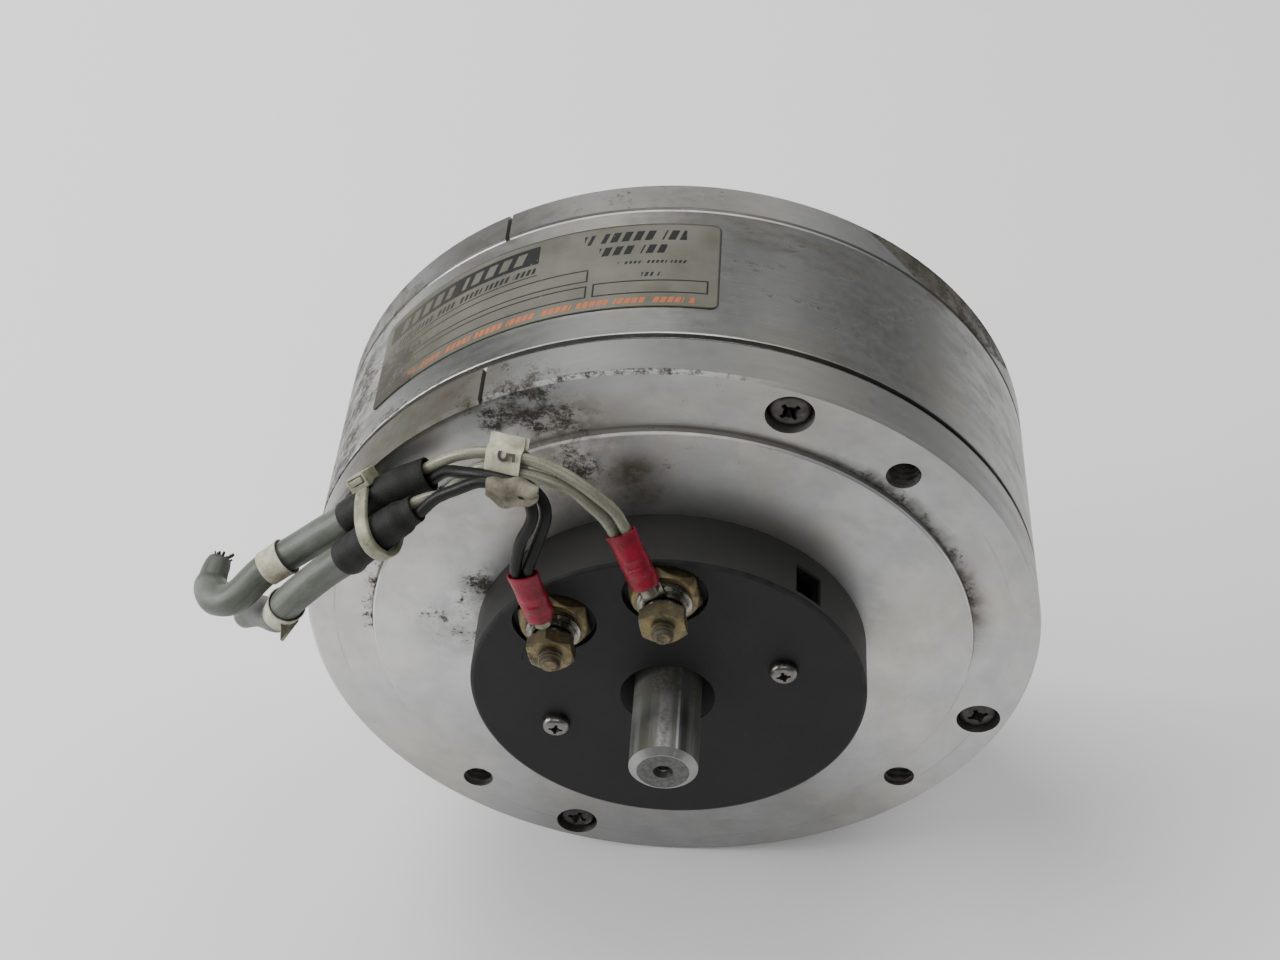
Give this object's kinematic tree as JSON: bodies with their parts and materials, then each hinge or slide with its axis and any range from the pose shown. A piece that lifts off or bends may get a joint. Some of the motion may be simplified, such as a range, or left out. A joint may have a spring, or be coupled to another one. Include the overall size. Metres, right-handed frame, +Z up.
{
  "type": "dc servo motor",
  "caption": "Flat round disc-armature DC servo motor with a piloted aluminium flange, black brush cover, plain output shaft, screw terminals and cut two-core cables.",
  "frame": {"origin": "centre of the mounting face, the flat ring that carries the tapped holes, on the shaft's axis", "axes": "+Y along the shaft's axis into the housing, so the shaft points to -Y; +Z up as the motor lies on its rim; +X to the right seen from the shaft's end"},
  "size_m": [0.159, 0.0823, 0.1396],
  "materials": {
    "turned_aluminium": "turned, slightly dulled",
    "housing_metal": "satin, dulled by handling",
    "dark_steel": "dark, plain",
    "magnet": "ground",
    "screw_steel": "zinc plated, dirty",
    "bearing_steel": "ground",
    "shaft_steel": "ground, lightly worn",
    "black_plastic": "moulded, matt",
    "brown_plastic": "moulded phenolic",
    "dull_brass": "tarnished",
    "tinned_metal": "tin plated, dull",
    "carbon": "pressed carbon",
    "armature": "bonded copper laminate",
    "red_sleeve": "semi-gloss vinyl",
    "pale_insulation": "satin, yellowed",
    "black_insulation": "satin",
    "grey_jacket": "satin, dirty",
    "marker": "vinyl cloth, yellowed",
    "nylon": "yellowed nylon"
  },
  "bodies": {
    "stator": {"front_plate": "turned_aluminium", "housing_ring": "housing_metal", "rear_plate": "housing_metal", "front_flux_ring": "dark_steel", "rear_flux_plate": "dark_steel", "magnets": "magnet", "housing_screws": "screw_steel", "brush_cover": "black_plastic", "cover_screws": "screw_steel", "brush_holders": "brown_plastic", "brush_caps": "dull_brass", "brush_springs": "dark_steel", "brushes": "carbon", "terminal_washers": "dull_brass", "ring_terminals": "tinned_metal", "terminal_sleeves": "red_sleeve", "lock_washers": "tinned_metal", "terminal_nuts": "dull_brass", "front_bearing_outer": "bearing_steel", "front_bearing_balls": "bearing_steel", "rear_bearing_outer": "bearing_steel", "rear_bearing_balls": "bearing_steel", "bearing_shields": "bearing_steel", "bearing_retaining_ring": "dark_steel", "preload_washer": "dark_steel", "pale_lead_upper": "pale_insulation", "pale_lead_lower": "pale_insulation", "black_lead_upper": "black_insulation", "black_lead_lower": "black_insulation", "shrink_sleeve_upper": "black_insulation", "shrink_sleeve_lower": "black_insulation", "cable_upper": "grey_jacket", "cable_lower": "grey_jacket", "marker_band_upper": "marker", "marker_band_lower": "marker", "lead_flag": "marker", "folded_flag": "marker", "cable_tie": "nylon"},
    "rotor": {"shaft": "shaft_steel", "shaft_retaining_ring": "dark_steel", "armature_hub": "turned_aluminium", "armature_disc": "armature", "clamp_ring": "turned_aluminium", "clamp_screws": "screw_steel", "front_bearing_inner": "bearing_steel", "rear_bearing_inner": "bearing_steel"}
  },
  "joints": [
    {"name": "shaft_spin", "type": "hinge", "parent": "stator", "child": "rotor", "pos_m": [0, 0, 0], "axis": [0, 1, 0], "continuous": true}
  ]
}
